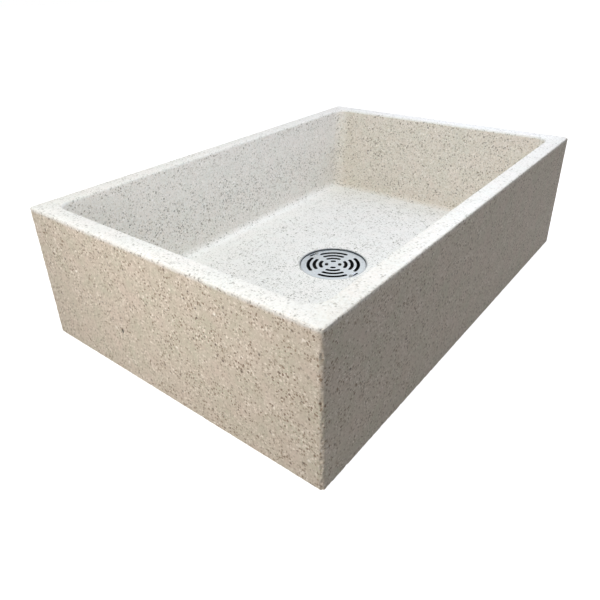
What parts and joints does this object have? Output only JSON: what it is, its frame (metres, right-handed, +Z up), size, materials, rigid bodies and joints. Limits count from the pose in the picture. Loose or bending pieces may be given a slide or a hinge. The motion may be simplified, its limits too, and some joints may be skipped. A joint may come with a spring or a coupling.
{
  "type": "mop sink",
  "caption": "Low open rectangular mop basin of precast terrazzo, its floor falling to a round slotted stainless strainer over a central drain.",
  "frame": {"origin": "centre of the underside, on the surface that the basin rests on", "axes": "+Z up out of the basin, +Y along the long sides, +X along the short sides"},
  "size_m": [0.6096, 0.9144, 0.2508],
  "materials": {
    "terrazzo": "ground and sealed terrazzo, fine dark and pale chips in a warm off-white matrix",
    "stainless": "satin stainless sheet",
    "galvanised": "galvanised wire",
    "rubber": "moulded black rubber"
  },
  "bodies": {
    "basin": {"basin": "terrazzo", "drain_flange": "stainless", "drain_cup": "stainless", "pipe_gasket": "rubber", "screw_lug_1": "stainless", "screw_lug_2": "stainless", "anchor_1": "stainless", "anchor_2": "stainless", "anchor_3": "stainless", "anchor_4": "stainless", "long_wire_1": "galvanised", "long_wire_2": "galvanised", "long_wire_3": "galvanised", "long_wire_4": "galvanised", "cross_wire_1": "galvanised", "cross_wire_2": "galvanised", "cross_wire_3": "galvanised", "cross_wire_4": "galvanised", "wall_hoop_lower": "galvanised", "wall_hoop_upper": "galvanised"},
    "strainer": {"strainer": "stainless"},
    "screw_1": {"strainer_screw_1": "stainless"},
    "screw_2": {"strainer_screw_2": "stainless"}
  },
  "joints": [
    {"name": "strainer_lift", "type": "slide", "parent": "basin", "child": "strainer", "axis": [0, 0, 1], "range_m": [0, 0.23]},
    {"name": "screw_1_turn", "type": "hinge", "parent": "strainer", "child": "screw_1", "pos_m": [0.05851, -0.0211, 0.0397], "axis": [0, 0, 1], "continuous": true},
    {"name": "screw_2_turn", "type": "hinge", "parent": "strainer", "child": "screw_2", "pos_m": [-0.05851, 0.0211, 0.0397], "axis": [0, 0, 1], "continuous": true}
  ]
}
